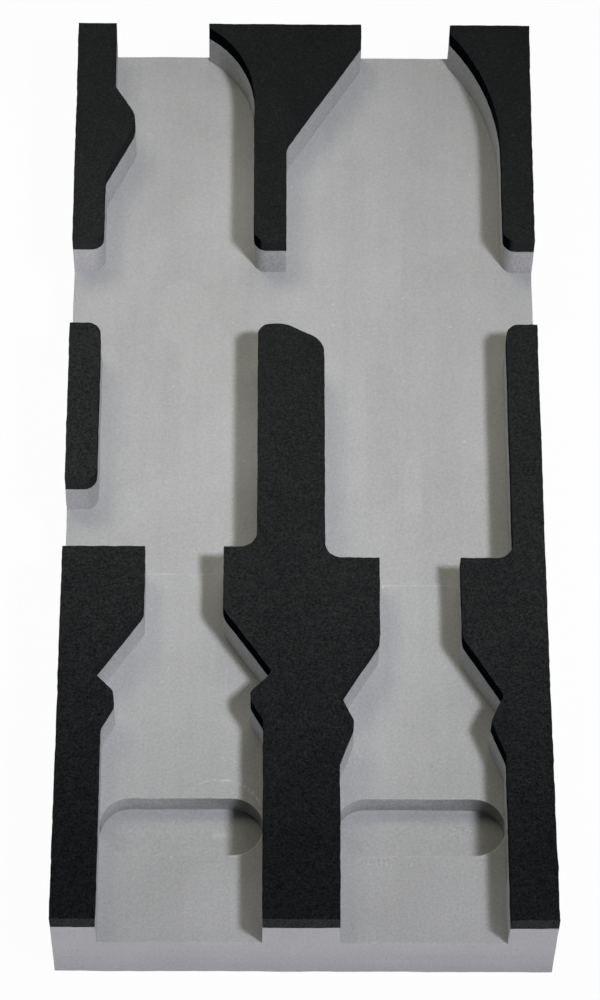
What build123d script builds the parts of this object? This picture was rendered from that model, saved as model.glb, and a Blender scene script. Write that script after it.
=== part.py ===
from build123d import *
import math
import os

# Foam insert for a tool drawer: a grey closed-cell foam block under a thin black foam skin.
# Two tool pockets are routed into it from above, and the same cut leaves the skin as seven islands.
# Millimetres. X runs across the drawer, Y to its rear and Z up.
# The origin is the centre of the underside.

# Sheet thicknesses, and cutting depths below the top of the skin
base_thickness = 42
skin_thickness = 8
bay_depth = 24
handle_depth = 22.5

# Across the front edge: these walls and handle bays add up to the width
front_left_wall = 16.75
left_handle_width = 61.6
front_centre_wall = 28.9
right_handle_width = 62.7
front_right_wall = 18.05

# Along the left pocket, from the rear edge to the front edge: these add up to the length
bump_setback = 31.5
bump_rear_length = 16.6
bump_front_length = 27.6
rear_rim_length = 31.5
channel_width = 39.5
mid_rim_length = 72.1
side_gap_length = 29.35
left_neck_length = 27.15
left_flare_length = 27
left_notch_length = 8.3
left_waist_length = 3.9
left_taper_length = 8.7
left_handle_length = 80.8

# Along the right pocket, from the left pocket's shoulder forwards: its handle bay takes the rest
right_shoulder_setback = 4.55
right_neck_length = 34.5
right_flare_length = 24.7
right_notch_length = 11
right_taper_length = 14.7

# Widths of the pockets between shoulder and handle bay
left_neck_width = 30.5
left_notch_width = 68.1
left_waist_width = 52
right_neck_width = 31.4
right_notch_width = 61.8
right_waist_width = 51.5

# Rims that stand beside the bays, and the bump on the rear left one
left_rim = 12.8
right_rim = 13.3
rear_left_rim = 15.8
bump_width = 26

# Rear centre island: a neck that spreads to the rear, in an arc on its left and straight on its right
rear_left_bay_width = 60.75
stem_width = 13.25
stem_left_spread = 19.15
stem_left_length = 13.7
stem_left_tip = 2
stem_right_spread = 31.1
stem_right_length = 50.6
stem_right_tip = 7

# Rear right island: its wall sweeps inwards to the rear edge
rear_right_spread = 19.9
rear_right_length = 26.3
rear_right_tip = 4.6

# Tongue of the front centre island, which has its right-hand corner cut away
tongue_left_shoulder = 12.8
tongue_right_shoulder = 20.9
tongue_flat = 10.65
tongue_drop = 7.9

# Corner radii in plan
cutter_radius = 6.4
island_radius = 5.2
bend_radius = 7
waist_radius = 4
notch_radius = 1.5
bump_radius = 10.6
stem_arc_radius = 43
stem_bend_radius = 9
sweep_radius = 93
tongue_crest_radius = 12
tongue_side_radius = 9.5

# Finger troughs: a round-ended slot across each handle bay, whose ends run past the bay's walls by a
# little and stop at them
trough_width = 23.4
trough_depth = 10
trough_setback = 47.4
trough_overrun = 0.15
right_trough_left_overrun = 1.4

# Share of a straight wall that the arcs at its two ends may take up together
arc_room = 0.98

# Levels and edges that follow
top = base_thickness + skin_thickness
bay_floor = top - bay_depth
handle_floor = top - handle_depth
insert_width = (
    front_left_wall + left_handle_width + front_centre_wall + right_handle_width + front_right_wall
)
rear_island_length = bump_setback + bump_rear_length + bump_front_length + rear_rim_length
left_pocket_length = (
    left_neck_length + left_flare_length + left_notch_length
    + left_waist_length + left_taper_length + left_handle_length
)
insert_length = (
    rear_island_length + channel_width + mid_rim_length + side_gap_length + left_pocket_length
)
left_edge = -insert_width / 2
right_edge = insert_width / 2
front_edge = -insert_length / 2
rear_edge = insert_length / 2

# Lines across the block, from the rear forwards
channel_rear = rear_edge - rear_island_length
channel_front = channel_rear - channel_width
mid_rim_front = channel_front - mid_rim_length
left_shoulder = mid_rim_front - side_gap_length
right_shoulder = left_shoulder - right_shoulder_setback

# Lines along the block, from the left to the right
rim_left = left_edge + left_rim
rim_right = right_edge - right_rim
left_pocket_axis = left_edge + front_left_wall + left_handle_width / 2
right_pocket_axis = right_edge - front_right_wall - right_handle_width / 2
tongue_left = left_pocket_axis + left_neck_width / 2 + tongue_left_shoulder
tongue_right = right_pocket_axis - right_neck_width / 2 - tongue_right_shoulder
stem_left = rim_left + rear_left_bay_width
stem_right = stem_left + stem_width


def outline(*corners):
    """Flat face inside (x, y, radius) corners. An arc that its walls have no room for is made smaller."""
    points = [Vector(x, y) for x, y, radius in corners]
    walls = [end - start for start, end in zip(points, points[1:] + points[:1])]
    turns = [walls[i - 1].get_angle(wall) for i, wall in enumerate(walls)]
    reaches = [radius * math.tan(math.radians(turn / 2)) for (x, y, radius), turn in zip(corners, turns)]
    face = make_face(Polyline(*points, close=True))
    for i, (x, y, radius) in enumerate(corners):
        if radius > 0:
            before = walls[i - 1].length / (reaches[i - 1] + reaches[i])
            after = walls[i].length / (reaches[i] + reaches[(i + 1) % len(corners)])
            corner = face.vertices().sort_by_distance(points[i])[0]
            face = fillet(corner, radius * min(1, arc_room * before, arc_room * after))
    return face


def left_pocket_wall(side):
    """Corners of one wall of the left pocket, shoulder to front edge. The left wall has side -1."""
    flare = left_shoulder - left_neck_length
    notch = flare - left_flare_length
    waist = notch - left_notch_length
    taper = waist - left_waist_length
    handle = taper - left_taper_length
    neck_x = left_pocket_axis + side * left_neck_width / 2
    notch_x = left_pocket_axis + side * left_notch_width / 2
    waist_x = left_pocket_axis + side * left_waist_width / 2
    handle_x = left_pocket_axis + side * left_handle_width / 2
    return [
        (neck_x, left_shoulder, 0),
        (neck_x, flare, bend_radius),
        (notch_x, notch, notch_radius),
        (waist_x, waist, waist_radius),
        (waist_x, taper, waist_radius),
        (handle_x, handle, bend_radius),
        (handle_x, front_edge, 0),
    ]


def right_pocket_wall(side):
    """Corners of one wall of the right pocket, shoulder to front edge. The left wall has side -1."""
    flare = right_shoulder - right_neck_length
    notch = flare - right_flare_length
    waist = notch - right_notch_length
    handle = waist - right_taper_length
    neck_x = right_pocket_axis + side * right_neck_width / 2
    notch_x = right_pocket_axis + side * right_notch_width / 2
    waist_x = right_pocket_axis + side * right_waist_width / 2
    handle_x = right_pocket_axis + side * right_handle_width / 2
    return [
        (neck_x, right_shoulder, 0),
        (neck_x, flare, bend_radius),
        (notch_x, notch, notch_radius),
        (waist_x, waist, notch_radius),
        (handle_x, handle, bend_radius),
        (handle_x, front_edge, 0),
    ]


def rear_left_island():
    """Rim at the rear left, with a rounded bump that narrows the bay."""
    bump_rear = rear_edge - bump_setback
    bump_crest = bump_rear - bump_rear_length
    bump_front = bump_crest - bump_front_length
    return outline(
        (left_edge, rear_edge, 0),
        (left_edge + rear_left_rim, rear_edge, 0),
        (left_edge + rear_left_rim, bump_rear, bend_radius),
        (left_edge + bump_width, bump_crest, bump_radius),
        (rim_left, bump_front, bend_radius),
        (rim_left, channel_rear, island_radius),
        (left_edge, channel_rear, 0),
    )


def rear_centre_island():
    """Stem between the two rear bays, which widens to both sides at the rear edge."""
    left_tip = rear_edge - stem_left_tip
    right_tip = rear_edge - stem_right_tip
    return outline(
        (stem_left - stem_left_spread, rear_edge, 0),
        (stem_left - stem_left_spread, left_tip, 0),
        (stem_left, left_tip - stem_left_length, stem_arc_radius),
        (stem_left, channel_rear, island_radius),
        (stem_right, channel_rear, 0),
        (stem_right, right_tip - stem_right_length, stem_bend_radius),
        (stem_right + stem_right_spread, right_tip, notch_radius),
        (stem_right + stem_right_spread, rear_edge, 0),
    )


def rear_right_island():
    """Rim at the rear right, whose wall sweeps inwards to the rear edge."""
    tip = rear_edge - rear_right_tip
    return outline(
        (right_edge, rear_edge, 0),
        (rim_right - rear_right_spread, rear_edge, 0),
        (rim_right - rear_right_spread, tip, notch_radius),
        (rim_right, tip - rear_right_length, sweep_radius),
        (rim_right, channel_rear, island_radius),
        (right_edge, channel_rear, 0),
    )


def mid_left_island():
    """Free-standing rim on the left, between the cross channel and the gap in the side."""
    return outline(
        (left_edge, channel_front, 0),
        (rim_left, channel_front, island_radius),
        (rim_left, mid_rim_front, island_radius),
        (left_edge, mid_rim_front, 0),
    )


def front_left_island():
    """Wall on the left of the left pocket."""
    return outline(
        (left_edge, left_shoulder, 0),
        *left_pocket_wall(-1),
        (left_edge, front_edge, 0),
    )


def front_centre_island():
    """Wall between the two pockets, with the tongue that parts their bays."""
    return outline(
        (tongue_left, left_shoulder, cutter_radius),
        (tongue_left, channel_front, island_radius),
        (tongue_left + tongue_flat, channel_front, tongue_crest_radius),
        (tongue_right, channel_front - tongue_drop, tongue_side_radius),
        (tongue_right, right_shoulder, cutter_radius),
        *right_pocket_wall(-1),
        *reversed(left_pocket_wall(1)),
    )


def front_right_island():
    """Wall on the right of the right pocket, with the arm that runs back beside its bay."""
    return outline(
        (rim_right, right_shoulder, cutter_radius),
        (rim_right, channel_front, island_radius),
        (right_edge, channel_front, 0),
        (right_edge, front_edge, 0),
        *reversed(right_pocket_wall(1)),
    )


def finger_trough(pocket, pocket_axis, handle_width, left_overrun):
    """Round-ended slot sunk into the floor of a handle bay, to lift the handle out by."""
    slot_length = left_overrun + handle_width + trough_overrun
    slot_middle = pocket_axis + (trough_overrun - left_overrun) / 2
    slot = Pos(slot_middle, front_edge + trough_setback) * SlotOverall(slot_length, trough_width)
    return Pos(0, 0, handle_floor - trough_depth) * extrude(slot & pocket, trough_depth)


def base_block(islands):
    """Grey block with the islands left standing to their full height round the routed pockets."""
    sheet = Rectangle(insert_width, insert_length)
    left_pocket = outline(*left_pocket_wall(-1), *reversed(left_pocket_wall(1)))
    right_pocket = outline(*right_pocket_wall(-1), *reversed(right_pocket_wall(1)))
    bays = sheet - islands - [left_pocket, right_pocket]
    block = extrude(sheet, base_thickness)
    block -= Pos(0, 0, bay_floor) * extrude(bays, bay_depth)
    block -= Pos(0, 0, handle_floor) * extrude(left_pocket, handle_depth)
    block -= Pos(0, 0, handle_floor) * extrude(right_pocket, handle_depth)
    block -= finger_trough(left_pocket, left_pocket_axis, left_handle_width, trough_overrun)
    block -= finger_trough(right_pocket, right_pocket_axis, right_handle_width, right_trough_left_overrun)
    return block


def skin(island):
    """Black skin on top of one island, flush with its walls."""
    return Pos(0, 0, base_thickness) * extrude(island, skin_thickness)


islands = {
    "rear_left": rear_left_island(),
    "rear_centre": rear_centre_island(),
    "rear_right": rear_right_island(),
    "mid_left": mid_left_island(),
    "front_left": front_left_island(),
    "front_centre": front_centre_island(),
    "front_right": front_right_island(),
}
pieces = {"base_block": base_block(list(islands.values()))}
for place, island in islands.items():
    pieces[f"skin_{place}"] = skin(island)

os.makedirs("parts", exist_ok=True)
for name, piece in pieces.items():
    export_step(piece, f"parts/{name}.step")
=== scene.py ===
import math

import bmesh
import bpy
from mathutils import Matrix, Vector


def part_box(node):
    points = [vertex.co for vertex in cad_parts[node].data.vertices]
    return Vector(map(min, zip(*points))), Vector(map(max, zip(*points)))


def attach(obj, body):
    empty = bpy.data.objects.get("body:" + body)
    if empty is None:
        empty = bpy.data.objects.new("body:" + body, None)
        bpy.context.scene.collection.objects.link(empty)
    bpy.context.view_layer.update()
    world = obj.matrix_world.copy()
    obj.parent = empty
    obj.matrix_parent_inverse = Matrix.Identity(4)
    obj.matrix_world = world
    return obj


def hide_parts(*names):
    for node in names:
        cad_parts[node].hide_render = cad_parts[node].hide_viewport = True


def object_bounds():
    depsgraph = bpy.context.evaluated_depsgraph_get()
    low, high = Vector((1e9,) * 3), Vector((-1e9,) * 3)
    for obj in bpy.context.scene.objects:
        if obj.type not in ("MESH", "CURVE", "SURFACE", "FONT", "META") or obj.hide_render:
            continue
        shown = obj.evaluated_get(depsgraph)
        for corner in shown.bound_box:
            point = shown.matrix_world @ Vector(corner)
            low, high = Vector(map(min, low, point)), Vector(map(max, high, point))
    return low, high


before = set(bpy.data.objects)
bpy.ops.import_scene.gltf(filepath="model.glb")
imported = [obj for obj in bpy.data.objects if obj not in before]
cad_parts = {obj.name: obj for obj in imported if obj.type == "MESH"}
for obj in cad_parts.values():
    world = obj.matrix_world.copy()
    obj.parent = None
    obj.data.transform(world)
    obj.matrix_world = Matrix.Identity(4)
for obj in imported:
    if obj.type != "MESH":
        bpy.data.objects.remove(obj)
cad_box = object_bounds()


# Grey block
# One sheet of closed-cell foam, routed from above for two tools. The cutter leaves upright grain
# on its walls, soft edges and faint marks on its floors, and the cut sides draw in a little.

def add(tree, kind, inputs=None, **settings):
    """New node in a node tree. Inputs are named, and each is a value or a socket to link."""
    node = tree.nodes.new(kind)
    for name, value in settings.items():
        setattr(node, name, value)
    for name, value in (inputs or {}).items():
        if isinstance(value, bpy.types.NodeSocket):
            tree.links.new(value, node.inputs[name])
        else:
            node.inputs[name].default_value = value
    return node


def math_of(tree, operation, first, second=0.0, third=0.0):
    """Result of a Math node on up to three values or sockets."""
    node = add(tree, "ShaderNodeMath", {0: first, 1: second, 2: third}, operation=operation)
    return node.outputs[0]


def vector_of(tree, operation, first, second=(0, 0, 0)):
    """Result of a Vector Math node on two vectors or sockets."""
    node = add(tree, "ShaderNodeVectorMath", {0: first, 1: second}, operation=operation)
    return node.outputs["Vector"]


def product(tree, *values):
    """Product of several values or sockets."""
    whole = values[0]
    for value in values[1:]:
        whole = math_of(tree, "MULTIPLY", whole, value)
    return whole


def greatest(tree, *values):
    """Greatest of several values or sockets."""
    most = values[0]
    for value in values[1:]:
        most = math_of(tree, "MAXIMUM", most, value)
    return most


def share_of(tree, value):
    """A value or socket kept from 0 to 1."""
    return math_of(tree, "MINIMUM", math_of(tree, "MAXIMUM", value, 0.0), 1.0)


def scaled(tree, vector, factor):
    """A vector times a number."""
    node = add(tree, "ShaderNodeVectorMath", {0: vector, "Scale": factor}, operation="SCALE")
    return node.outputs["Vector"]


def dot_of(tree, first, second):
    """Dot product of two vectors or sockets."""
    node = add(tree, "ShaderNodeVectorMath", {0: first, 1: second}, operation="DOT_PRODUCT")
    return node.outputs["Value"]


def length_of(tree, vector):
    """Length of a vector."""
    node = add(tree, "ShaderNodeVectorMath", {0: vector}, operation="LENGTH")
    return node.outputs["Value"]


def parts_of(tree, vector):
    """The x, y and z of a vector."""
    return add(tree, "ShaderNodeSeparateXYZ", {"Vector": vector}).outputs


def place_on_object(tree):
    """Place on the piece in metres, in the frame that all pieces share."""
    return add(tree, "ShaderNodeTexCoord").outputs["Object"]


def true_normal(tree):
    """Direction that the surface faces, without its bump."""
    return add(tree, "ShaderNodeNewGeometry").outputs["True Normal"]


def new_tree(name, kind, inputs, outputs):
    """Empty node group with named sockets, and its input and output nodes.

    An input is its name, its socket type and its value, and an output is its name and type.
    """
    tree = bpy.data.node_groups.new(name, kind)
    for socket_name, socket_type, value in inputs:
        socket = tree.interface.new_socket(socket_name, in_out="INPUT", socket_type=socket_type)
        if value is not None:
            socket.default_value = value
    for socket_name, socket_type in outputs:
        tree.interface.new_socket(socket_name, in_out="OUTPUT", socket_type=socket_type)
    return tree, tree.nodes.new("NodeGroupInput"), tree.nodes.new("NodeGroupOutput")


def cut_foam_tree():
    """Geometry Nodes that draw the sides in and make cut foam uneven, with grain up its walls."""
    tree, given, result = new_tree(
        "cut_foam", "GeometryNodeTree",
        [
            ("Foam", "NodeSocketGeometry", None),
            ("Half width", "NodeSocketFloat", 0.1),
            ("Half length", "NodeSocketFloat", 0.2),
            ("Left bow", "NodeSocketFloat", 0.0),
            ("Right bow", "NodeSocketFloat", 0.0),
            ("Wave length", "NodeSocketFloat", 0.02),
            ("Wave depth", "NodeSocketFloat", 0.0),
            ("Grain length", "NodeSocketFloat", 0.003),
            ("Grain depth", "NodeSocketFloat", 0.0),
            ("Material", "NodeSocketMaterial", None),
        ],
        [("Foam", "NodeSocketGeometry")],
    )
    tree.is_modifier = True
    bow_reach = 14.0
    upright_stretch = (1, 1, 0.1)
    position = add(tree, "GeometryNodeInputPosition").outputs["Position"]
    normal = add(tree, "GeometryNodeInputNormal").outputs["Normal"]
    x, y, _ = parts_of(tree, position)

    # Each side bows in towards its middle. The reach is a power that keeps the bow near the side
    side = math_of(tree, "DIVIDE", x, given.outputs["Half width"])
    along = math_of(tree, "DIVIDE", y, given.outputs["Half length"])
    middle = math_of(tree, "SUBTRACT", 1.0, product(tree, along, along))
    at_side = math_of(tree, "POWER", math_of(tree, "ABSOLUTE", side), bow_reach)
    on_right = math_of(tree, "GREATER_THAN", side, 0.0)
    right = product(tree, on_right, given.outputs["Right bow"])
    on_left = math_of(tree, "SUBTRACT", 1.0, on_right)
    left = product(tree, on_left, given.outputs["Left bow"])
    bow = product(tree, math_of(tree, "SUBTRACT", left, right), at_side, middle)
    offset = add(tree, "ShaderNodeCombineXYZ", {"X": bow}).outputs["Vector"]

    wave = add(tree, "ShaderNodeTexNoise", {
        "Vector": position,
        "Scale": math_of(tree, "DIVIDE", 1.0, given.outputs["Wave length"]),
        "Detail": 1.0,
    })
    wave = vector_of(tree, "SUBTRACT", wave.outputs["Color"], (0.5, 0.5, 0.5))
    wave = scaled(tree, vector_of(tree, "MULTIPLY", wave, (2, 2, 0)), given.outputs["Wave depth"])
    offset = vector_of(tree, "ADD", offset, wave)

    upright = vector_of(tree, "MULTIPLY", position, upright_stretch)
    grain = add(tree, "ShaderNodeTexNoise", {
        "Vector": upright,
        "Scale": math_of(tree, "DIVIDE", 1.0, given.outputs["Grain length"]),
        "Detail": 2.0,
    })
    grain = math_of(tree, "SUBTRACT", grain.outputs["Fac"], 0.5)
    grain = product(tree, grain, product(tree, given.outputs["Grain depth"], 2.0))
    outwards = vector_of(tree, "MULTIPLY", normal, (1, 1, 0))
    offset = vector_of(tree, "ADD", offset, scaled(tree, outwards, grain))

    moved = add(tree, "GeometryNodeSetPosition", {"Geometry": given.outputs["Foam"], "Offset": offset})
    whole = add(tree, "GeometryNodeRealizeInstances", {"Geometry": moved.outputs["Geometry"]})
    painted = add(tree, "GeometryNodeSetMaterial", {
        "Geometry": whole.outputs["Geometry"],
        "Material": given.outputs["Material"],
    })
    tree.links.new(painted.outputs["Geometry"], result.inputs["Foam"])
    return tree


def through_tree(piece, tree, values):
    """Plain mesh that a Geometry Nodes tree makes of a piece, with its inputs set by name."""
    modifier = piece.modifiers.new(tree.name, "NODES")
    modifier.node_group = tree
    for item in tree.interface.items_tree:
        if item.in_out == "INPUT" and item.name in values:
            modifier[item.identifier] = values[item.name]
    bpy.context.view_layer.update()
    graph = bpy.context.evaluated_depsgraph_get()
    mesh = bpy.data.meshes.new_from_object(piece.evaluated_get(graph))
    piece.modifiers.remove(modifier)
    return mesh


def gridded_foam(node, sharp_levels, cell, softness):
    """Copy of a CAD node with a grid cut in and its outer edges softened, but not at some levels."""
    facet_angle = math.radians(1)
    corner_angle = math.radians(35)
    touching = 1e-5
    grid = bmesh.new()
    grid.from_mesh(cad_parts[node].data)
    bmesh.ops.remove_doubles(grid, verts=grid.verts, dist=touching)
    bmesh.ops.dissolve_limit(grid, angle_limit=facet_angle, verts=grid.verts, edges=grid.edges)
    soft = []
    for edge in grid.edges:
        ends = [vertex.co.z for vertex in edge.verts]
        sharp = any(max(abs(end - level) for end in ends) < touching for level in sharp_levels)
        if edge.is_convex and edge.calc_face_angle(0) > corner_angle and not sharp:
            soft.append(edge)
    bmesh.ops.bevel(
        grid, geom=soft, offset=softness, segments=2, profile=0.5, affect="EDGES", clamp_overlap=True,
    )
    lowest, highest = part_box(node)
    for axis in range(3):
        direction = Vector((0, 0, 0))
        direction[axis] = 1
        for step in range(math.floor(lowest[axis] / cell), math.ceil(highest[axis] / cell)):
            cut = (step + 0.5) * cell
            if lowest[axis] < cut < highest[axis]:
                everything = grid.verts[:] + grid.edges[:] + grid.faces[:]
                bmesh.ops.bisect_plane(
                    grid, geom=everything, plane_co=direction * cut, plane_no=direction, dist=touching,
                )
    mesh = bpy.data.meshes.new(node)
    grid.to_mesh(mesh)
    grid.free()
    return mesh


def foam_piece(name, node, tree, material, grain_depth):
    """Foam piece that stands for a CAD node and rides on the part's one body."""
    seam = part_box("base_block")[1][2]
    handle_floor = 0.0275
    grid_cell = 0.002
    edge_softness = 0.0002
    smooth_angle = math.radians(20)
    half_width, half_length, _ = cad_box[1]
    gridded = gridded_foam(node, [seam, handle_floor], grid_cell, edge_softness)
    rough = bpy.data.objects.new(name, gridded)
    bpy.context.scene.collection.objects.link(rough)
    mesh = through_tree(rough, tree, {
        "Half width": half_width,
        "Half length": half_length,
        "Left bow": 0.0004,
        "Right bow": 0.001,
        "Wave length": 0.014,
        "Wave depth": 0.00025,
        "Grain length": 0.0025,
        "Grain depth": grain_depth,
        "Material": material,
    })
    bpy.data.objects.remove(rough)
    piece = bpy.data.objects.new(name, mesh)
    bpy.context.scene.collection.objects.link(piece)
    mesh.shade_smooth()
    mesh.set_sharp_from_angle(angle=smooth_angle)
    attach(piece, "root")
    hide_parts(node)
    return piece


def foam_grain_group():
    """Shader group for cut foam: fine cells, soft patches of tone, flecks and the height of it all."""
    group, given, result = new_tree(
        "foam_grain", "ShaderNodeTree",
        [
            ("Stretch", "NodeSocketVector", (1, 1, 1)),
            ("Cells per metre", "NodeSocketFloat", 1200.0),
            ("Patches per metre", "NodeSocketFloat", 40.0),
            ("Flecks per metre", "NodeSocketFloat", 300.0),
            ("Fleck share", "NodeSocketFloat", 0.1),
            ("Fleck radius", "NodeSocketFloat", 0.2),
        ],
        [
            ("Cells", "NodeSocketFloat"),
            ("Patches", "NodeSocketFloat"),
            ("Flecks", "NodeSocketFloat"),
            ("Height", "NodeSocketFloat"),
        ],
    )
    pore_share = 0.5
    place = vector_of(group, "MULTIPLY", place_on_object(group), given.outputs["Stretch"])
    cells = add(group, "ShaderNodeTexNoise", {
        "Vector": place, "Scale": given.outputs["Cells per metre"], "Detail": 2.0, "Roughness": 0.7,
    }).outputs["Fac"]
    pores = add(group, "ShaderNodeTexVoronoi", {
        "Vector": place, "Scale": given.outputs["Cells per metre"],
    }).outputs["Distance"]
    patches = add(group, "ShaderNodeTexNoise", {
        "Vector": place, "Scale": given.outputs["Patches per metre"], "Detail": 3.0, "Roughness": 0.5,
    }).outputs["Fac"]
    flecks = add(group, "ShaderNodeTexVoronoi", {
        "Vector": place, "Scale": given.outputs["Flecks per metre"],
    })
    shade, _, _ = add(group, "ShaderNodeSeparateColor", {"Color": flecks.outputs["Color"]}).outputs
    chosen = math_of(group, "LESS_THAN", shade, given.outputs["Fleck share"])
    near = math_of(group, "DIVIDE", flecks.outputs["Distance"], given.outputs["Fleck radius"])
    near = greatest(group, math_of(group, "SUBTRACT", 1.0, near), 0.0)
    height = math_of(group, "ADD", cells, product(group, pores, pore_share))
    group.links.new(cells, result.inputs["Cells"])
    group.links.new(patches, result.inputs["Patches"])
    group.links.new(product(group, chosen, near), result.inputs["Flecks"])
    group.links.new(height, result.inputs["Height"])
    return group


def cutter_pass_group():
    """Shader group for one pass of a round cutter: how far a point is inside it, and its rim."""
    group, given, result = new_tree(
        "cutter_pass", "ShaderNodeTree",
        [
            ("Start", "NodeSocketVector", (0, 0, 0)),
            ("End", "NodeSocketVector", (0, 0, 0)),
            ("Radius", "NodeSocketFloat", 0.011),
            ("Softness", "NodeSocketFloat", 0.0008),
        ],
        [
            ("Inside", "NodeSocketFloat"),
            ("Rim", "NodeSocketFloat"),
        ],
    )
    wanders_per_metre = 250.0
    wander_in_plan = (0.0012, 0.0012, 0)
    place = place_on_object(group)
    wander = add(group, "ShaderNodeTexNoise", {"Vector": place, "Scale": wanders_per_metre})
    wander = vector_of(group, "SUBTRACT", wander.outputs["Color"], (0.5, 0.5, 0.5))
    wander = vector_of(group, "MULTIPLY", wander, wander_in_plan)
    place = vector_of(group, "ADD", place, wander)
    from_start = vector_of(group, "SUBTRACT", place, given.outputs["Start"])
    whole = vector_of(group, "SUBTRACT", given.outputs["End"], given.outputs["Start"])
    along = dot_of(group, from_start, whole)
    share = share_of(group, math_of(group, "DIVIDE", along, dot_of(group, whole, whole)))

    # A height off the pass counts five times, so that a pass marks one floor and not the next
    off_line = vector_of(group, "SUBTRACT", from_start, scaled(group, whole, share))
    off_line = vector_of(group, "MULTIPLY", off_line, (1, 1, 5))
    depth = math_of(group, "SUBTRACT", given.outputs["Radius"], length_of(group, off_line))
    depth = math_of(group, "DIVIDE", depth, given.outputs["Softness"])
    rim = math_of(group, "SUBTRACT", 1.0, math_of(group, "ABSOLUTE", depth))
    group.links.new(share_of(group, depth), result.inputs["Inside"])
    group.links.new(greatest(group, rim, 0.0), result.inputs["Rim"])
    return group


def new_material(name):
    """Empty node material with its shader, and the tree to build in."""
    material = bpy.data.materials.new(name)
    material.use_nodes = True
    tree = material.node_tree
    return material, tree, tree.nodes["Principled BSDF"]


def mixed(tree, factor, first, second):
    """Colour between two colours or sockets."""
    node = add(tree, "ShaderNodeMix", data_type="RGBA")
    for socket, value in zip([node.inputs[0], node.inputs[6], node.inputs[7]], [factor, first, second]):
        if isinstance(value, bpy.types.NodeSocket):
            tree.links.new(value, socket)
        else:
            socket.default_value = value
    return node.outputs[2]


def blended(tree, factor, first, second):
    """Number between two numbers or sockets."""
    change = math_of(tree, "SUBTRACT", second, first)
    return math_of(tree, "MULTIPLY_ADD", change, factor, first)


def ramped(tree, value, low, high, first=0.0, second=1.0):
    """Number that goes from one number to another while a value goes from low to high."""
    node = add(tree, "ShaderNodeMapRange", {
        "Value": value, "From Min": low, "From Max": high, "To Min": first, "To Max": second,
    })
    return node.outputs["Result"]


def grain_of(tree, group, **inputs):
    """Foam grain node with its inputs set by name, an underscore for each space."""
    node = add(tree, "ShaderNodeGroup", node_tree=group)
    for name, value in inputs.items():
        node.inputs[name.replace("_", " ")].default_value = value
    return node.outputs


def cutter_cut(tree, group, start, end, radius, softness=0.0008):
    """Outputs of one cutter pass between two places in metres."""
    cut = add(tree, "ShaderNodeGroup", node_tree=group)
    cut.inputs["Start"].default_value = start
    cut.inputs["End"].default_value = end
    cut.inputs["Radius"].default_value = radius
    cut.inputs["Softness"].default_value = softness
    return cut.outputs


def floor_tone(tree, group, bay_floor, handle_floor):
    """Tone that overlapping cutter passes leave on the floors: below 0 darker, above 0 paler."""
    # Start and end of each pass in metres, its floor, its radius, and the tone inside it
    passes = [
        ((-0.069, 0.130), (-0.069, 0.010), bay_floor, 0.0190, -0.35),
        ((-0.0487, 0.080), (-0.0487, 0.0705), bay_floor, 0.0107, 1.0),
        ((-0.077, 0.080), (-0.068, 0.080), bay_floor, 0.0110, 0.1),
        ((-0.034, 0.150), (-0.036, 0.100), bay_floor, 0.0110, 0.45),
        ((-0.039, 0.060), (-0.039, -0.045), bay_floor, 0.0110, 0.55),
        ((0.020, 0.135), (0.020, 0.085), bay_floor, 0.0050, -0.2),
        ((0.034, 0.138), (0.034, 0.078), bay_floor, 0.0090, 0.45),
        ((0.050, 0.120), (0.050, -0.010), bay_floor, 0.0105, -0.3),
        ((0.065, 0.145), (0.067, -0.030), bay_floor, 0.0060, 0.3),
        ((0.052, 0.077), (0.046, 0.077), bay_floor, 0.0130, -0.25),
        ((0.0313, 0.045), (0.0313, -0.010), bay_floor, 0.0067, -0.6),
        ((0.0433, 0.003), (0.0433, -0.015), bay_floor, 0.0040, 1.2),
        ((-0.030, -0.106), (-0.034, -0.140), handle_floor, 0.0120, 0.5),
        ((-0.034, -0.180), (-0.034, -0.215), handle_floor, 0.0110, 0.8),
        ((0.056, -0.125), (0.056, -0.215), handle_floor, 0.0110, 0.6),
    ]
    tone = 0.0
    for start, end, level, radius, step in passes:
        cut = cutter_cut(tree, group, (*start, level), (*end, level), radius)
        tone = blended(tree, cut["Inside"], tone, step)
    return tone


def crumbled(tree):
    """Share of crumbled foam: small bits all over, from none to whole."""
    crumbs_per_metre = 700.0
    least = 0.38
    gain = 4.0
    crumbs = add(tree, "ShaderNodeTexNoise", {"Vector": place_on_object(tree), "Scale": crumbs_per_metre})
    crumbs = math_of(tree, "SUBTRACT", crumbs.outputs["Fac"], least)
    return share_of(tree, product(tree, crumbs, gain))


def trough_rims(tree, group, troughs, trough_y, handle_floor, crumbs):
    """Share of pale on the troughs' rims: crumbled foam with a painted edge highlight, and a stronger,
    even painted highlight at the front of each right end.
    """
    radius = 0.0120
    softness = 0.0004
    crumbled_share = 0.35
    highlight_share = 0.8
    front_reach = (-0.155, -0.158)
    x, y, _ = parts_of(tree, place_on_object(tree))
    rims = 0.0
    ends = 0.0
    for left_x, right_x, highlight_reach in troughs:
        start = (left_x, trough_y, handle_floor)
        end = (right_x, trough_y, handle_floor)
        rim = cutter_cut(tree, group, start, end, radius, softness)["Rim"]
        rims = greatest(tree, rims, rim)
        ends = greatest(tree, ends, product(tree, rim, ramped(tree, x, *highlight_reach)))
    rims = product(tree, rims, crumbled_share, crumbs)
    return greatest(tree, rims, product(tree, ends, ramped(tree, y, *front_reach), highlight_share))


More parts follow.
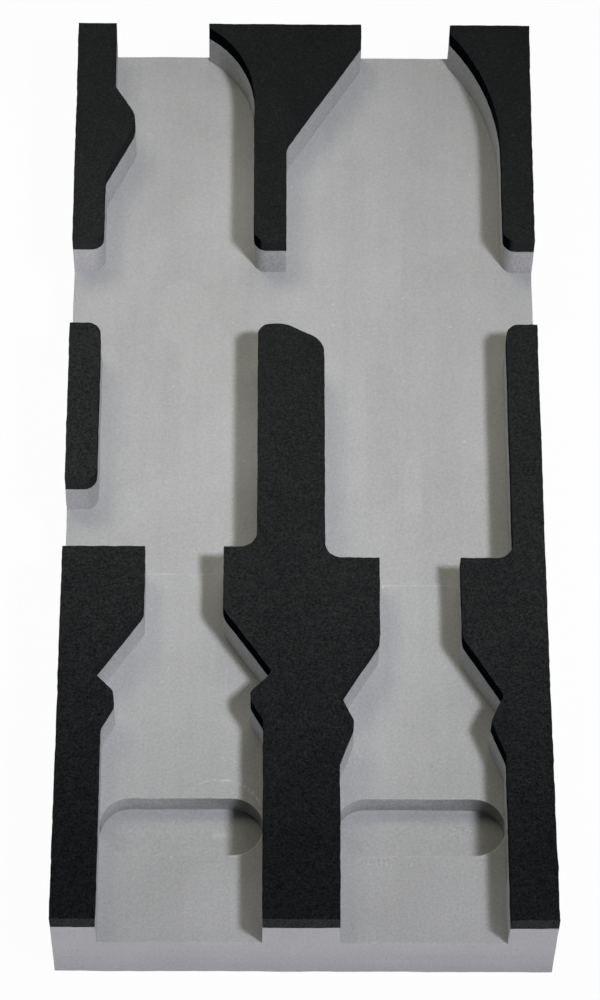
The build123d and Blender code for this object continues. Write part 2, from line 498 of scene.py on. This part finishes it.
def cutter_ring(tree, group, handle_floor, crumbs):
    """Share of pale foam on the ring that a cutter left behind the left trough, roughest at its right."""
    middle = (-0.0320, -0.1518, handle_floor)
    radius = 0.0167
    softness = 0.0006
    left_x, left_share = -0.042, 0.6
    right_x, right_share = -0.022, 2.2
    seen_reach = (-0.148, -0.143)
    x, y, _ = parts_of(tree, place_on_object(tree))
    ring = cutter_cut(tree, group, middle, middle, radius, softness)["Rim"]
    share = ramped(tree, x, left_x, right_x, left_share, right_share)
    share = product(tree, share, ramped(tree, y, *seen_reach))
    return product(tree, product(tree, ring, share), crumbs)


def torn_and_highlit_edges(tree, group, handle_floor, crumbs):
    """Share of pale along the handle floors' rear rims and front edges: torn foam and a painted edge
    highlight.
    """
    softness = 0.0007
    even_part = 0.25
    # The x of both ends of each edge, its y, and its share of pale foam
    edges = [
        (-0.0660, -0.0340, -0.0463, 0.7),
        (0.0260, 0.0590, -0.0509, 0.7),
        (-0.0760, -0.0160, -0.2019, 0.5),
        (0.0130, 0.0760, -0.2019, 0.5),
    ]
    edge_pale = 0.0
    for left_x, right_x, edge_y, share in edges:
        start = (left_x, edge_y, handle_floor)
        end = (right_x, edge_y, handle_floor)
        edge = cutter_cut(tree, group, start, end, 0.0, softness)["Rim"]
        edge = product(tree, edge, blended(tree, crumbs, even_part * share, share))
        edge_pale = greatest(tree, edge_pale, edge)
    return edge_pale


def pale_marks_and_highlights(tree, group, troughs, trough_y, handle_floor, trough_floor):
    """Share of pale: a cutter's ring and a rubbed place, and the troughs' rims and torn edges with painted
    edge highlights.
    """
    rub_start = (-0.0345, -0.1538, trough_floor)
    rub_end = (-0.0300, -0.1539, trough_floor)
    rub_radius = 0.0016
    rub_softness = 0.0024
    crumbs = crumbled(tree)
    rub = cutter_cut(tree, group, rub_start, rub_end, rub_radius, rub_softness)
    return greatest(
        tree,
        trough_rims(tree, group, troughs, trough_y, handle_floor, crumbs),
        cutter_ring(tree, group, handle_floor, crumbs),
        rub["Inside"],
        torn_and_highlit_edges(tree, group, handle_floor, crumbs),
    )


def rough_places(tree, group, handle_floor, trough_floor):
    """Share of roughened foam: in the right trough, before it, and beside the cutter's ring."""
    # Start and end of each place in metres, its floor, its radius and its softness
    places = [
        ((0.0585, -0.1515), (0.0605, -0.1530), trough_floor, 0.0045, 0.003),
        ((0.0235, -0.1680), (0.0300, -0.1690), handle_floor, 0.0045, 0.003),
        ((-0.0200, -0.1395), (-0.0188, -0.1425), handle_floor, 0.0022, 0.0015),
    ]
    share = 0.0
    for start, end, level, radius, softness in places:
        rough = cutter_cut(tree, group, (*start, level), (*end, level), radius, softness)
        share = greatest(tree, share, rough["Inside"])
    return share


def trough_shade(tree, troughs, trough_y, handle_floor, routed_wall):
    """Share of painted shade in the right ends of the troughs, on their floors and more on their walls."""
    radius = 0.0118
    under_floor = 0.0002
    rise_start = -0.002
    rise_end = 0.006
    floor_share = 0.26
    wall_share = 0.5
    x, y, z = parts_of(tree, place_on_object(tree))
    off_middle = math_of(tree, "ABSOLUTE", math_of(tree, "SUBTRACT", y, trough_y))
    low = math_of(tree, "LESS_THAN", z, handle_floor - under_floor)
    within = product(tree, math_of(tree, "LESS_THAN", off_middle, radius), low)
    share = 0.0
    for _, right_x, _ in troughs:
        rise = ramped(tree, x, right_x + rise_start, right_x + rise_end)
        end = product(tree, rise, math_of(tree, "LESS_THAN", x, right_x + radius))
        share = greatest(tree, share, end)
    return product(tree, share, blended(tree, routed_wall, floor_share, wall_share), within)


def dark_specks(tree, group, handle_floor, trough_floor):
    """Share of dark specks: on a handle floor, in a trough and on the front, and painted shadow in a nick
    in a wall.
    """
    speck_radius = 0.0006
    # The two ends of each speck in metres
    specks = [
        ((0.0489, -0.129, handle_floor), (0.0489, -0.129, handle_floor)),
        ((0.0586, -0.1544, trough_floor), (0.0586, -0.1544, trough_floor)),
        ((-0.0844, -0.202, 0.0195), (-0.0844, -0.202, 0.0205)),
    ]
    # A nick in a wall, painted dark as the shadow inside it
    nick_middle = (-0.0767, -0.1529, 0.0214)
    nick_size = (0.0015, 0.0013, 0.003)
    nick_edge = (1.1, 0.7)
    share = 0.0
    for start, end in specks:
        speck = cutter_cut(tree, group, start, end, speck_radius)
        share = greatest(tree, share, speck["Inside"])
    off_nick = vector_of(tree, "SUBTRACT", place_on_object(tree), nick_middle)
    off_nick = vector_of(tree, "DIVIDE", off_nick, nick_size)
    return greatest(tree, share, ramped(tree, length_of(tree, off_nick), *nick_edge))


def grey_foam():
    """Matt light grey foam: fine cells, soft patches, pale flecks and faint cutter passes."""
    pale = (0.62, 0.62, 0.62, 1)
    dull = (0.33, 0.33, 0.33, 1)
    bright = (0.75, 0.75, 0.74, 1)
    dark = (0.12, 0.12, 0.11, 1)
    black = (0, 0, 0, 1)

    # Floors, the troughs' middle line, and where the outside of the sheet starts, in metres
    bay_floor = 0.026
    handle_floor = 0.0275
    trough_floor = 0.0175
    trough_y = -0.1546
    half_width = 0.0925
    half_length = 0.2008

    # The x of each trough's left and right end, and where the painted highlight on its rim starts and is
    # whole
    troughs = [(-0.0656, -0.0272, (-0.0300, -0.0260)), (0.0246, 0.0643, (0.0620, 0.0660))]

    # Strength of each kind of unevenness
    contrast_reach = (-0.15, 0.05)
    front_contrast = 0.9
    rear_contrast = 0.68
    rough_contrast = 0.6
    wall_contrast = 1.75
    patch_contrast = 0.22
    pass_contrast = 0.065
    streak_contrast = 0.14
    wall_streak_share = 0.3
    fleck_share = 0.5
    mark_share = 0.5
    speck_share = 0.7
    streaks_per_metre = 260.0
    along_streak = 0.04

    # Falls of tone: painted shade low on the outside, darker to the right in the pockets, and painted
    # shade on front walls that face left
    side_fall_heights = (0.024, 0.0)
    side_falls = (-0.04, 0.24)
    right_fall = 0.045
    right_reach = (-0.02, 0.07)
    behind_troughs = (-0.165, -0.13)
    front_wall_shade = 0.5
    front_wall_reach = (-0.145, -0.175)
    facing_left = (-0.6, -0.9)

    material, tree, shader = new_material("grey_foam")
    fine = grain_of(
        tree, foam_grain, Cells_per_metre=1050, Patches_per_metre=45,
        Flecks_per_metre=420, Fleck_share=0.02, Fleck_radius=0.3,
    )
    routed = grain_of(
        tree, foam_grain, Stretch=(1, 1, 0.8), Cells_per_metre=1200, Patches_per_metre=90,
        Flecks_per_metre=60, Fleck_share=0.06, Fleck_radius=0.06,
    )
    place = place_on_object(tree)
    x, y, z = parts_of(tree, place)
    rightwards, _, up = parts_of(tree, true_normal(tree))
    upright = math_of(tree, "SUBTRACT", 1.0, math_of(tree, "ABSOLUTE", up))
    beside = math_of(tree, "GREATER_THAN", math_of(tree, "ABSOLUTE", x), half_width)
    at_end = math_of(tree, "GREATER_THAN", math_of(tree, "ABSOLUTE", y), half_length)
    outside = product(tree, greatest(tree, beside, at_end), upright)
    routed_wall = math_of(tree, "SUBTRACT", upright, outside)

    # Cells, patches and cutter passes
    contrast = ramped(tree, y, *contrast_reach, front_contrast, rear_contrast)
    rough = rough_places(tree, cutter_pass, handle_floor, trough_floor)
    contrast = math_of(tree, "MULTIPLY_ADD", rough, rough_contrast, contrast)
    fine_cells = product(tree, math_of(tree, "SUBTRACT", fine["Cells"], 0.5), contrast)
    wall_cells = product(tree, math_of(tree, "SUBTRACT", routed["Cells"], 0.5), wall_contrast)
    tone = math_of(tree, "ADD", blended(tree, routed_wall, fine_cells, wall_cells), 0.5)
    patches = math_of(tree, "SUBTRACT", fine["Patches"], 0.5)
    tone = math_of(tree, "MULTIPLY_ADD", patches, patch_contrast, tone)
    passes = floor_tone(tree, cutter_pass, bay_floor, handle_floor)
    tone = math_of(tree, "MULTIPLY_ADD", passes, pass_contrast, tone)

    # The cutter ran lengthwise in the pockets and across in the troughs, and the sides were cut level
    deep = math_of(tree, "LESS_THAN", z, (trough_floor + handle_floor) / 2)
    across = greatest(tree, deep, outside)
    grain_way = add(tree, "ShaderNodeCombineXYZ", {
        "X": blended(tree, across, 1.0, along_streak),
        "Y": blended(tree, across, along_streak, 1.0),
        "Z": 1.0,
    }).outputs["Vector"]
    streaks = add(tree, "ShaderNodeTexNoise", {
        "Vector": vector_of(tree, "MULTIPLY", place, grain_way), "Scale": streaks_per_metre, "Detail": 2.0,
    }).outputs["Fac"]
    streaks = product(tree, math_of(tree, "SUBTRACT", streaks, 0.5), streak_contrast)
    tone = math_of(tree, "MULTIPLY_ADD", streaks, blended(tree, routed_wall, 1.0, wall_streak_share), tone)

    fall = product(tree, ramped(tree, x, *right_reach), ramped(tree, y, *behind_troughs))
    fall = product(tree, fall, blended(tree, routed_wall, right_fall, 2 * right_fall))
    # Painted shade on the outside towards the floor, and painted light that makes it a little paler higher
    # up
    side_fall = ramped(tree, z, *side_fall_heights, *side_falls)
    tone = math_of(tree, "SUBTRACT", tone, blended(tree, outside, fall, side_fall))

    # Flecks, marks with painted edge highlights, and specks lie over the tone, and painted shade over them
    # all
    colour = mixed(tree, tone, dull, pale)
    colour = mixed(tree, product(tree, fine["Flecks"], fleck_share), colour, bright)
    colour = mixed(tree, product(tree, routed["Flecks"], fleck_share), colour, dark)
    marks = pale_marks_and_highlights(tree, cutter_pass, troughs, trough_y, handle_floor, trough_floor)
    colour = mixed(tree, product(tree, marks, mark_share), colour, bright)
    specks = dark_specks(tree, cutter_pass, handle_floor, trough_floor)
    colour = mixed(tree, product(tree, specks, speck_share), colour, dark)
    # Painted shade on routed walls near the front that face left
    front_walls = product(tree, ramped(tree, y, *front_wall_reach), ramped(tree, rightwards, *facing_left))
    front_walls = product(tree, front_walls, routed_wall, front_wall_shade)
    # Painted shade in the right ends of the troughs
    end_shade = trough_shade(tree, troughs, trough_y, handle_floor, routed_wall)
    colour = mixed(tree, greatest(tree, end_shade, front_walls), colour, black)
    bump = add(tree, "ShaderNodeBump", {"Height": fine["Height"], "Strength": 0.25, "Distance": 0.0003})
    tree.links.new(colour, shader.inputs["Base Color"])
    tree.links.new(bump.outputs["Normal"], shader.inputs["Normal"])
    shader.inputs["Roughness"].default_value = 0.9
    shader.inputs["Specular IOR Level"].default_value = 0.25
    return material


cut_foam = cut_foam_tree()
foam_grain = foam_grain_group()
cutter_pass = cutter_pass_group()
foam_piece("foam_block", "base_block", cut_foam, grey_foam(), 0.00012)


# Black skins
# Seven islands of one thin sheet of black foam, glued to the grey block before the pockets are
# cut through both, so their walls are flush with the grey. Matt, with a fine pale fleck.

def black_foam():
    """Matt black foam with a faint cool tint and painted sheen, darkest at the front, with painted shade
    on its walls that face left.
    """
    black = (0.0019, 0.0036, 0.0045, 1)
    grey_and_sheen = (0.045, 0.0465, 0.0455, 1)
    pale = (0.075, 0.077, 0.078, 1)
    half_width = 0.0925
    half_length = 0.2008

    # Tone, from black to the foam's grey with painted sheen, and where along y or x each of its changes
    # starts and is whole
    front_tone = 0.235
    middle_rise = 0.165
    middle_reach = (-0.17, -0.08)
    left_rise = 0.12
    left_reach = (0.0, -0.085)
    left_reach_along = (-0.08, -0.02)
    rear_share = 0.84
    rear_reach = (0.06, 0.16)
    right_rise = 0.035
    right_reach = (0.03, 0.08)
    patch_contrast = 0.35

    # Painted light and shade by the way a wall faces, with the span of its normal over which that comes in
    front_facing_share = 1.25
    front_facing = (-0.3, -0.8)
    front_band_tone = 0.77
    right_facing_tone = 0.5
    right_facing = (0.3, 0.8)
    left_facing = (-0.3, -0.55)
    slightly_front_facing = (-0.05, -0.3)

    front_contrast = 4.7
    rear_contrast = 2.0
    contrast_reach = (-0.15, 0.15)
    fleck_contrast = 0.8

    material, tree, shader = new_material("black_foam")
    grain = grain_of(
        tree, foam_grain, Cells_per_metre=1370, Patches_per_metre=60,
        Flecks_per_metre=700, Fleck_share=0.06, Fleck_radius=0.45,
    )
    x, y, _ = parts_of(tree, place_on_object(tree))
    rightwards, rearwards, _ = parts_of(tree, true_normal(tree))

    # Painted sheen: the tone rises to the middle and more at the left, falls at the rear and rises a
    # little at the right
    to_left = product(tree, ramped(tree, x, *left_reach), ramped(tree, y, *left_reach_along))
    rise = math_of(tree, "MULTIPLY_ADD", to_left, left_rise, middle_rise)
    tone = math_of(tree, "MULTIPLY_ADD", ramped(tree, y, *middle_reach), rise, front_tone)
    tone = product(tree, tone, ramped(tree, y, *rear_reach, 1.0, rear_share))
    tone = math_of(tree, "ADD", tone, ramped(tree, x, *right_reach, 0.0, right_rise))
    patches = math_of(tree, "SUBTRACT", grain["Patches"], 0.5)
    tone = product(tree, tone, math_of(tree, "MULTIPLY_ADD", patches, patch_contrast, 1.0))

    # Walls: painted light on those that face the front or the right, with a painted reflection of the
    # white floor on the front band, and painted shade, black, on routed ones facing front left
    facing_front = ramped(tree, rearwards, *front_facing)
    tone = product(tree, tone, ramped(tree, facing_front, 0.0, 1.0, 1.0, front_facing_share))
    front_band = product(tree, math_of(tree, "LESS_THAN", y, -half_length), facing_front)
    tone = blended(tree, front_band, tone, front_band_tone)
    tone = blended(tree, ramped(tree, rightwards, *right_facing), tone, right_facing_tone)
    routed = math_of(tree, "LESS_THAN", math_of(tree, "ABSOLUTE", x), half_width)
    unlit = product(tree, ramped(tree, rightwards, *left_facing), routed)
    unlit = product(tree, unlit, ramped(tree, rearwards, *slightly_front_facing))
    tone = blended(tree, unlit, tone, 0.0)

    cells = math_of(tree, "SUBTRACT", grain["Cells"], 0.5)
    cells = product(tree, cells, ramped(tree, y, *contrast_reach, front_contrast, rear_contrast))
    uneven = product(tree, tone, math_of(tree, "ADD", cells, 1.0))
    colour = mixed(tree, uneven, black, grey_and_sheen)
    flecks = product(tree, grain["Flecks"], product(tree, tone, fleck_contrast))
    colour = mixed(tree, flecks, colour, pale)
    bump = add(tree, "ShaderNodeBump", {"Height": grain["Height"], "Strength": 0.4, "Distance": 0.0003})
    tree.links.new(colour, shader.inputs["Base Color"])
    tree.links.new(bump.outputs["Normal"], shader.inputs["Normal"])
    shader.inputs["Roughness"].default_value = 0.9
    shader.inputs["Specular IOR Level"].default_value = 0.0
    return material


black = black_foam()
for node in sorted(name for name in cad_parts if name.startswith("skin_")):
    foam_piece("foam_" + node, node, cut_foam, black, 0.0003)


# Floor
# Wide white sheet under the insert. Seen by the camera it is white, with the insert's soft shadow.

def seen_by_camera(tree):
    """Share that is 1 where the camera sees a thing, straight, in gloss or through glass."""
    rays = add(tree, "ShaderNodeLightPath").outputs
    return greatest(tree, rays["Is Camera Ray"], rays["Is Glossy Ray"], rays["Is Transmission Ray"])


floor_half = 4.0
paper_patches_per_metre = 3.0
paper_dull = (0.78, 0.78, 0.78, 1)
paper_bright = (0.80, 0.80, 0.80, 1)
white_share = 0.97
floor_mesh = bpy.data.meshes.new("floor")
floor_corners = [(x * floor_half, y * floor_half, 0) for x, y in [(-1, -1), (1, -1), (1, 1), (-1, 1)]]
floor_mesh.from_pydata(floor_corners, [], [(0, 1, 2, 3)])
floor = bpy.data.objects.new("floor", floor_mesh)
bpy.context.scene.collection.objects.link(floor)
paper, paper_tree, paper_shader = new_material("white_paper")
paper_patches = add(paper_tree, "ShaderNodeTexNoise", {
    "Vector": place_on_object(paper_tree), "Scale": paper_patches_per_metre,
}).outputs["Fac"]
paper_colour = mixed(paper_tree, paper_patches, paper_dull, paper_bright)
paper_tree.links.new(paper_colour, paper_shader.inputs["Base Color"])
paper_shader.inputs["Roughness"].default_value = 0.9
white = add(paper_tree, "ShaderNodeEmission", {"Color": (1, 1, 1, 1), "Strength": 1.0})
paper_mix = add(paper_tree, "ShaderNodeMixShader", {
    0: product(paper_tree, seen_by_camera(paper_tree), white_share),
    1: paper_shader.outputs[0],
    2: white.outputs[0],
})
paper_tree.links.new(paper_mix.outputs[0], paper_tree.nodes["Material Output"].inputs["Surface"])
floor_mesh.materials.append(paper)


# Light
# A small soft lamp at the front right casts the shadows in the pockets, and a narrow one in the
# same place lights the middle. Soft lamps behind, and low ones in front, fill the shadows.

def aimed(name, light, place, target):
    """Lamp object that faces a target."""
    lamp = bpy.data.objects.new(name, light)
    bpy.context.scene.collection.objects.link(lamp)
    lamp.location = place
    lamp.rotation_euler = (Vector(target) - Vector(place)).to_track_quat("-Z", "Y").to_euler()
    return lamp


def area_lamp(name, place, target, size, power, colour):
    """Square lamp that faces a target, with its size in metres and its power in watts."""
    light = bpy.data.lights.new(name, "AREA")
    light.size = size
    light.energy = power
    light.color = colour
    return aimed(name, light, place, target)


def spot_lamp(name, place, target, cone, softness, power, colour):
    """Spot that faces a target and fades to the edge of its cone, which is given in degrees."""
    light = bpy.data.lights.new(name, "SPOT")
    light.spot_size = math.radians(cone)
    light.spot_blend = 1.0
    light.shadow_soft_size = softness
    light.energy = power
    light.color = colour
    return aimed(name, light, place, target)


key_place = (0.5, -0.54, 1.35)
middle = (0, 0, 0)
key_colour = (0.97, 0.985, 1.06)
fill_colour = (1.04, 1.02, 0.87)
low_colour = (1.0, 0.99, 1.07)
room_strength = 0.005
area_lamp("key_lamp", key_place, middle, 0.165, 8.5, key_colour)
spot_lamp("key_spot", key_place, (-0.06, 0.05, 0), 20, 0.08, 26.2, key_colour)
spot_lamp("rear_left_spot", (-0.3, 0.35, 1.0), (0.019, 0.029, 0), 32, 0.25, 14.8, fill_colour)
spot_lamp("rear_right_spot", (0.15, 0.55, 1.0), (-0.04, -0.02, 0), 32, 0.25, 5.7, fill_colour)
area_lamp("rear_panel", (-0.05, 0.35, 0.75), (-0.05, 0.05, 0), 0.4, 0.35, fill_colour)
area_lamp("low_left_lamp", (-1.2, -0.7, 0.1), middle, 0.16, 3.9, low_colour)
area_lamp("low_left_panel", (-1.2, -0.9, 0.28), middle, 0.4, 2.2, low_colour)
area_lamp("low_right_panel", (0.5, -1.3, 0.3), middle, 0.4, 3.1, low_colour)
world = bpy.data.worlds.new("white_room")
world.use_nodes = True
room = world.node_tree
dim = room.nodes["Background"]
dim.inputs["Color"].default_value = (1, 1, 1, 1)
dim.inputs["Strength"].default_value = room_strength
backdrop = add(room, "ShaderNodeBackground", {"Color": (1, 1, 1, 1), "Strength": 1.0})
room_mix = add(room, "ShaderNodeMixShader", {
    0: seen_by_camera(room),
    1: dim.outputs[0],
    2: backdrop.outputs[0],
})
room.links.new(room_mix.outputs[0], room.nodes["World Output"].inputs["Surface"])
bpy.context.scene.world = world


# Camera
# It stands in front of the insert and looks down at it, a little to the left and tilted.

camera_place = Vector((-0.01558, -0.77513, 1.38860))
camera_tilt = math.radians(60.7471)
camera_yaw = math.radians(-1.05768)
camera_roll = math.radians(-1.20266)
ahead = Vector((-math.sin(camera_yaw), math.cos(camera_yaw), 0))
sight = ahead * math.cos(camera_tilt) - Vector((0, 0, 1)) * math.sin(camera_tilt)
level_right = Vector((math.cos(camera_yaw), math.sin(camera_yaw), 0))
level_up = level_right.cross(sight)
camera_right = level_right * math.cos(camera_roll) - level_up * math.sin(camera_roll)
camera_up = level_right * math.sin(camera_roll) + level_up * math.cos(camera_roll)
turn = Matrix((camera_right, camera_up, -sight)).transposed()
lens = bpy.data.cameras.new("camera")
lens.sensor_width = 36
lens.lens = 142.003
camera = bpy.data.objects.new("camera", lens)
camera.matrix_world = Matrix.Translation(camera_place) @ turn.to_4x4()
bpy.context.scene.collection.objects.link(camera)
bpy.context.scene.camera = camera
bpy.context.scene.view_settings.view_transform = "Standard"
